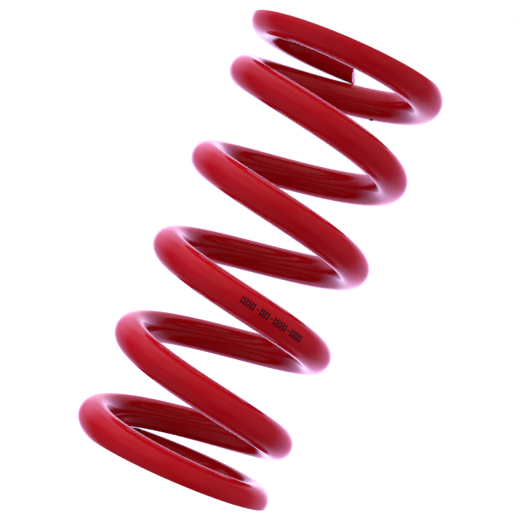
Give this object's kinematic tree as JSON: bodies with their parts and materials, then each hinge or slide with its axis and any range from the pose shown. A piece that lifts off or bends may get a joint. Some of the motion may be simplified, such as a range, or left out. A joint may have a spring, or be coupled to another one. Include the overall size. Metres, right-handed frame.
{
  "type": "coil spring",
  "caption": "Left-hand round-wire compression spring with closed and ground ends and a red powder coat, for a coil-over shock absorber.",
  "frame": {"origin": "centre of the coil axis at the lower ground face", "axes": "+Z along the coil axis towards the upper ground face, +Y through the middle turn of the wire"},
  "size_m": [0.0662, 0.0662, 0.141],
  "materials": {
    "powder_coat": "gloss red powder coat",
    "marking_ink": "thin dark printing ink, satin"
  },
  "bodies": {
    "lower_end_coil": {"lower_end_coil": "powder_coat"},
    "turn_1_arc_1": {"turn_1_arc_1": "powder_coat"},
    "turn_1_arc_2": {"turn_1_arc_2": "powder_coat"},
    "turn_1_arc_3": {"turn_1_arc_3": "powder_coat"},
    "turn_1_arc_4": {"turn_1_arc_4": "powder_coat"},
    "turn_1_arc_5": {"turn_1_arc_5": "powder_coat"},
    "turn_1_arc_6": {"turn_1_arc_6": "powder_coat"},
    "turn_1_arc_7": {"turn_1_arc_7": "powder_coat"},
    "turn_1_arc_8": {"turn_1_arc_8": "powder_coat"},
    "turn_2_arc_1": {"turn_2_arc_1": "powder_coat"},
    "turn_2_arc_2": {"turn_2_arc_2": "powder_coat"},
    "turn_2_arc_3": {"turn_2_arc_3": "powder_coat"},
    "turn_2_arc_4": {"turn_2_arc_4": "powder_coat"},
    "turn_2_arc_5": {"turn_2_arc_5": "powder_coat"},
    "turn_2_arc_6": {"turn_2_arc_6": "powder_coat"},
    "turn_2_arc_7": {"turn_2_arc_7": "powder_coat"},
    "turn_2_arc_8": {"turn_2_arc_8": "powder_coat"},
    "turn_3_arc_1": {"turn_3_arc_1": "powder_coat"},
    "turn_3_arc_2": {"turn_3_arc_2": "powder_coat"},
    "turn_3_arc_3": {"turn_3_arc_3": "powder_coat"},
    "turn_3_arc_4": {"turn_3_arc_4": "powder_coat"},
    "turn_3_arc_5": {"turn_3_arc_5": "powder_coat"},
    "turn_3_arc_6": {"turn_3_arc_6": "powder_coat"},
    "turn_3_arc_7": {"turn_3_arc_7": "powder_coat"},
    "turn_3_arc_8": {"turn_3_arc_8": "powder_coat"},
    "turn_4_arc_1": {"turn_4_arc_1": "powder_coat"},
    "turn_4_arc_2": {"turn_4_arc_2": "powder_coat"},
    "turn_4_arc_3": {"turn_4_arc_3": "powder_coat"},
    "turn_4_arc_4": {"turn_4_arc_4": "powder_coat"},
    "turn_4_arc_5": {"turn_4_arc_5": "powder_coat"},
    "turn_4_arc_6": {"turn_4_arc_6": "powder_coat"},
    "turn_4_arc_7": {"turn_4_arc_7": "powder_coat"},
    "turn_4_arc_8": {"turn_4_arc_8": "powder_coat"},
    "upper_end_coil": {"upper_end_coil": "powder_coat"}
  },
  "joints": [
    {"name": "compression", "type": "slide", "parent": "lower_end_coil", "child": "upper_end_coil", "axis": [0, 0, -1], "range_m": [0, 0.065], "stiffness_N_per_m": 130000},
    {"name": "turn_1_arc_1_twist", "type": "hinge", "parent": "lower_end_coil", "child": "turn_1_arc_1", "pos_m": [0, 0.028, 0.01141], "axis": [0.3763, 0.9265, -0.005], "range_deg": [0, 2], "stiffness_Nm_per_rad": 2.2, "springref_deg": -0.74},
    {"name": "turn_1_arc_2_twist", "type": "hinge", "parent": "turn_1_arc_1", "child": "turn_1_arc_2", "pos_m": [0.0198, 0.0198, 0.01503], "axis": [0.9867, -0.1622, 0.0105], "range_deg": [0, 2.7], "stiffness_Nm_per_rad": 2.5, "springref_deg": -1.44},
    {"name": "turn_1_arc_3_twist", "type": "hinge", "parent": "turn_1_arc_2", "child": "turn_1_arc_3", "pos_m": [0.028, 0, 0.01873], "axis": [0.3875, -0.9216, 0.024], "range_deg": [0, 3.7], "stiffness_Nm_per_rad": 2.6, "springref_deg": -1.54},
    {"name": "turn_1_arc_4_twist", "type": "hinge", "parent": "turn_1_arc_3", "child": "turn_1_arc_4", "pos_m": [0.0198, -0.0198, 0.02243], "axis": [-0.5236, -0.8513, 0.0355], "range_deg": [0, 4.6], "stiffness_Nm_per_rad": 2.5, "springref_deg": -1.54},
    {"name": "turn_1_arc_5_twist", "type": "hinge", "parent": "turn_1_arc_4", "child": "turn_1_arc_5", "pos_m": [0, -0.028, 0.02612], "axis": [-0.9972, -0.062, 0.0421], "range_deg": [0, 5], "stiffness_Nm_per_rad": 2.2, "springref_deg": -1.51},
    {"name": "turn_1_arc_6_twist", "type": "hinge", "parent": "turn_1_arc_5", "child": "turn_1_arc_6", "pos_m": [-0.0198, -0.0198, 0.02982], "axis": [-0.7065, 0.7064, 0.0437], "range_deg": [0, 5.1], "stiffness_Nm_per_rad": 1.8, "springref_deg": -1.53},
    {"name": "turn_1_arc_7_twist", "type": "hinge", "parent": "turn_1_arc_6", "child": "turn_1_arc_7", "pos_m": [-0.028, 0, 0.03352], "axis": [-0.0003, 0.999, 0.0442], "range_deg": [0, 5.1], "stiffness_Nm_per_rad": 1.6, "springref_deg": -1.49},
    {"name": "turn_1_arc_8_twist", "type": "hinge", "parent": "turn_1_arc_7", "child": "turn_1_arc_8", "pos_m": [-0.0198, 0.0198, 0.03722], "axis": [0.706, 0.7068, 0.0447], "range_deg": [0, 5.1], "stiffness_Nm_per_rad": 1.5, "springref_deg": -1.47},
    {"name": "turn_2_arc_1_twist", "type": "hinge", "parent": "turn_1_arc_8", "child": "turn_2_arc_1", "pos_m": [0, 0.028, 0.04092], "axis": [0.999, 0.0006, 0.0448], "range_deg": [0, 5.1], "stiffness_Nm_per_rad": 1.4, "springref_deg": -1.56},
    {"name": "turn_2_arc_2_twist", "type": "hinge", "parent": "turn_2_arc_1", "child": "turn_2_arc_2", "pos_m": [0.0198, 0.0198, 0.04462], "axis": [0.7067, -0.7061, 0.0445], "range_deg": [0, 5.1], "stiffness_Nm_per_rad": 1.4, "springref_deg": -1.54},
    {"name": "turn_2_arc_3_twist", "type": "hinge", "parent": "turn_2_arc_2", "child": "turn_2_arc_3", "pos_m": [0.028, 0, 0.04831], "axis": [0.0002, -0.999, 0.0438], "range_deg": [0, 5.1], "stiffness_Nm_per_rad": 1.3, "springref_deg": -1.53},
    {"name": "turn_2_arc_4_twist", "type": "hinge", "parent": "turn_2_arc_3", "child": "turn_2_arc_4", "pos_m": [0.0198, -0.0198, 0.05201], "axis": [-0.7064, -0.7065, 0.0431], "range_deg": [0, 5.1], "stiffness_Nm_per_rad": 1.1, "springref_deg": -1.47},
    {"name": "turn_2_arc_5_twist", "type": "hinge", "parent": "turn_2_arc_4", "child": "turn_2_arc_5", "pos_m": [0, -0.028, 0.05571], "axis": [-0.9991, 0, 0.0427], "range_deg": [0, 5.1], "stiffness_Nm_per_rad": 0.7, "springref_deg": -1.56},
    {"name": "turn_2_arc_6_twist", "type": "hinge", "parent": "turn_2_arc_5", "child": "turn_2_arc_6", "pos_m": [-0.0198, -0.0198, 0.05941], "axis": [-0.7064, 0.7065, 0.0428], "range_deg": [0, 5.1], "stiffness_Nm_per_rad": 0.37, "springref_deg": -1.55},
    {"name": "turn_2_arc_7_twist", "type": "hinge", "parent": "turn_2_arc_6", "child": "turn_2_arc_7", "pos_m": [-0.028, 0, 0.0631], "axis": [0, 0.9991, 0.0432], "range_deg": [0, 5.1], "stiffness_Nm_per_rad": 0.13, "springref_deg": -1.51},
    {"name": "turn_2_arc_8_twist", "type": "hinge", "parent": "turn_2_arc_7", "child": "turn_2_arc_8", "pos_m": [-0.0198, 0.0198, 0.0668], "axis": [0.7064, 0.7065, 0.0436], "range_deg": [0, 5.1], "stiffness_Nm_per_rad": 0.017, "springref_deg": -1.52},
    {"name": "turn_4_arc_8_twist", "type": "hinge", "parent": "upper_end_coil", "child": "turn_4_arc_8", "pos_m": [0, 0.028, 0.12959], "axis": [-0.3763, 0.9265, 0.005], "range_deg": [0, 2], "stiffness_Nm_per_rad": 2.2, "springref_deg": 0.6},
    {"name": "turn_4_arc_7_twist", "type": "hinge", "parent": "turn_4_arc_8", "child": "turn_4_arc_7", "pos_m": [-0.0198, 0.0198, 0.12597], "axis": [-0.9867, -0.1622, -0.0105], "range_deg": [0, 2.7], "stiffness_Nm_per_rad": 2.5, "springref_deg": 1.15},
    {"name": "turn_4_arc_6_twist", "type": "hinge", "parent": "turn_4_arc_7", "child": "turn_4_arc_6", "pos_m": [-0.028, 0, 0.12227], "axis": [-0.3875, -0.9216, -0.024], "range_deg": [0, 3.7], "stiffness_Nm_per_rad": 2.6, "springref_deg": 1.23},
    {"name": "turn_4_arc_5_twist", "type": "hinge", "parent": "turn_4_arc_6", "child": "turn_4_arc_5", "pos_m": [-0.0198, -0.0198, 0.11857], "axis": [0.5236, -0.8513, -0.0355], "range_deg": [0, 4.6], "stiffness_Nm_per_rad": 2.5, "springref_deg": 1.23},
    {"name": "turn_4_arc_4_twist", "type": "hinge", "parent": "turn_4_arc_5", "child": "turn_4_arc_4", "pos_m": [0, -0.028, 0.11488], "axis": [0.9972, -0.062, -0.0421], "range_deg": [0, 5], "stiffness_Nm_per_rad": 2.2, "springref_deg": 1.2},
    {"name": "turn_4_arc_3_twist", "type": "hinge", "parent": "turn_4_arc_4", "child": "turn_4_arc_3", "pos_m": [0.0198, -0.0198, 0.11118], "axis": [0.7065, 0.7064, -0.0437], "range_deg": [0, 5.1], "stiffness_Nm_per_rad": 1.8, "springref_deg": 1.23},
    {"name": "turn_4_arc_2_twist", "type": "hinge", "parent": "turn_4_arc_3", "child": "turn_4_arc_2", "pos_m": [0.028, 0, 0.10748], "axis": [0.0003, 0.999, -0.0442], "range_deg": [0, 5.1], "stiffness_Nm_per_rad": 1.6, "springref_deg": 1.19},
    {"name": "turn_4_arc_1_twist", "type": "hinge", "parent": "turn_4_arc_2", "child": "turn_4_arc_1", "pos_m": [0.0198, 0.0198, 0.10378], "axis": [-0.706, 0.7068, -0.0447], "range_deg": [0, 5.1], "stiffness_Nm_per_rad": 1.5, "springref_deg": 1.18},
    {"name": "turn_3_arc_8_twist", "type": "hinge", "parent": "turn_4_arc_1", "child": "turn_3_arc_8", "pos_m": [0, 0.028, 0.10008], "axis": [-0.999, 0.0006, -0.0448], "range_deg": [0, 5.1], "stiffness_Nm_per_rad": 1.4, "springref_deg": 1.25},
    {"name": "turn_3_arc_7_twist", "type": "hinge", "parent": "turn_3_arc_8", "child": "turn_3_arc_7", "pos_m": [-0.0198, 0.0198, 0.09638], "axis": [-0.7067, -0.7061, -0.0445], "range_deg": [0, 5.1], "stiffness_Nm_per_rad": 1.4, "springref_deg": 1.23},
    {"name": "turn_3_arc_6_twist", "type": "hinge", "parent": "turn_3_arc_7", "child": "turn_3_arc_6", "pos_m": [-0.028, 0, 0.09269], "axis": [-0.0002, -0.999, -0.0438], "range_deg": [0, 5.1], "stiffness_Nm_per_rad": 1.3, "springref_deg": 1.23},
    {"name": "turn_3_arc_5_twist", "type": "hinge", "parent": "turn_3_arc_6", "child": "turn_3_arc_5", "pos_m": [-0.0198, -0.0198, 0.08899], "axis": [0.7064, -0.7065, -0.0431], "range_deg": [0, 5.1], "stiffness_Nm_per_rad": 1.1, "springref_deg": 1.17},
    {"name": "turn_3_arc_4_twist", "type": "hinge", "parent": "turn_3_arc_5", "child": "turn_3_arc_4", "pos_m": [0, -0.028, 0.08529], "axis": [0.9991, 0, -0.0427], "range_deg": [0, 5.1], "stiffness_Nm_per_rad": 0.7, "springref_deg": 1.25},
    {"name": "turn_3_arc_3_twist", "type": "hinge", "parent": "turn_3_arc_4", "child": "turn_3_arc_3", "pos_m": [0.0198, -0.0198, 0.08159], "axis": [0.7064, 0.7065, -0.0428], "range_deg": [0, 5.1], "stiffness_Nm_per_rad": 0.37, "springref_deg": 1.24},
    {"name": "turn_3_arc_2_twist", "type": "hinge", "parent": "turn_3_arc_3", "child": "turn_3_arc_2", "pos_m": [0.028, 0, 0.0779], "axis": [0, 0.9991, -0.0432], "range_deg": [0, 5.1], "stiffness_Nm_per_rad": 0.13, "springref_deg": 1.21},
    {"name": "turn_3_arc_1_twist", "type": "hinge", "parent": "turn_3_arc_2", "child": "turn_3_arc_1", "pos_m": [0.0198, 0.0198, 0.0742], "axis": [-0.7064, 0.7065, -0.0436], "range_deg": [0, 5.1], "stiffness_Nm_per_rad": 0.017, "springref_deg": 1.22}
  ],
  "couplings": [
    {"joint": "turn_1_arc_1_twist", "follows": "compression", "rad_per_m": 0.47858},
    {"joint": "turn_1_arc_2_twist", "follows": "compression", "rad_per_m": 0.63364},
    {"joint": "turn_1_arc_3_twist", "follows": "compression", "rad_per_m": 0.87553},
    {"joint": "turn_1_arc_4_twist", "follows": "compression", "rad_per_m": 1.0805},
    {"joint": "turn_1_arc_5_twist", "follows": "compression", "rad_per_m": 1.1879},
    {"joint": "turn_1_arc_6_twist", "follows": "compression", "rad_per_m": 1.2167},
    {"joint": "turn_1_arc_7_twist", "follows": "compression", "rad_per_m": 1.217},
    {"joint": "turn_1_arc_8_twist", "follows": "compression", "rad_per_m": 1.217},
    {"joint": "turn_2_arc_1_twist", "follows": "compression", "rad_per_m": 1.2168},
    {"joint": "turn_2_arc_2_twist", "follows": "compression", "rad_per_m": 1.2166},
    {"joint": "turn_2_arc_3_twist", "follows": "compression", "rad_per_m": 1.2166},
    {"joint": "turn_2_arc_4_twist", "follows": "compression", "rad_per_m": 1.2168},
    {"joint": "turn_2_arc_5_twist", "follows": "compression", "rad_per_m": 1.2171},
    {"joint": "turn_2_arc_6_twist", "follows": "compression", "rad_per_m": 1.2173},
    {"joint": "turn_2_arc_7_twist", "follows": "compression", "rad_per_m": 1.2173},
    {"joint": "turn_2_arc_8_twist", "follows": "compression", "rad_per_m": 1.2173},
    {"joint": "turn_4_arc_8_twist", "follows": "compression", "rad_per_m": 0.47858},
    {"joint": "turn_4_arc_7_twist", "follows": "compression", "rad_per_m": 0.63364},
    {"joint": "turn_4_arc_6_twist", "follows": "compression", "rad_per_m": 0.87553},
    {"joint": "turn_4_arc_5_twist", "follows": "compression", "rad_per_m": 1.0805},
    {"joint": "turn_4_arc_4_twist", "follows": "compression", "rad_per_m": 1.1879},
    {"joint": "turn_4_arc_3_twist", "follows": "compression", "rad_per_m": 1.2167},
    {"joint": "turn_4_arc_2_twist", "follows": "compression", "rad_per_m": 1.217},
    {"joint": "turn_4_arc_1_twist", "follows": "compression", "rad_per_m": 1.217},
    {"joint": "turn_3_arc_8_twist", "follows": "compression", "rad_per_m": 1.2168},
    {"joint": "turn_3_arc_7_twist", "follows": "compression", "rad_per_m": 1.2166},
    {"joint": "turn_3_arc_6_twist", "follows": "compression", "rad_per_m": 1.2166},
    {"joint": "turn_3_arc_5_twist", "follows": "compression", "rad_per_m": 1.2168},
    {"joint": "turn_3_arc_4_twist", "follows": "compression", "rad_per_m": 1.2171},
    {"joint": "turn_3_arc_3_twist", "follows": "compression", "rad_per_m": 1.2173},
    {"joint": "turn_3_arc_2_twist", "follows": "compression", "rad_per_m": 1.2173},
    {"joint": "turn_3_arc_1_twist", "follows": "compression", "rad_per_m": 1.2173}
  ]
}
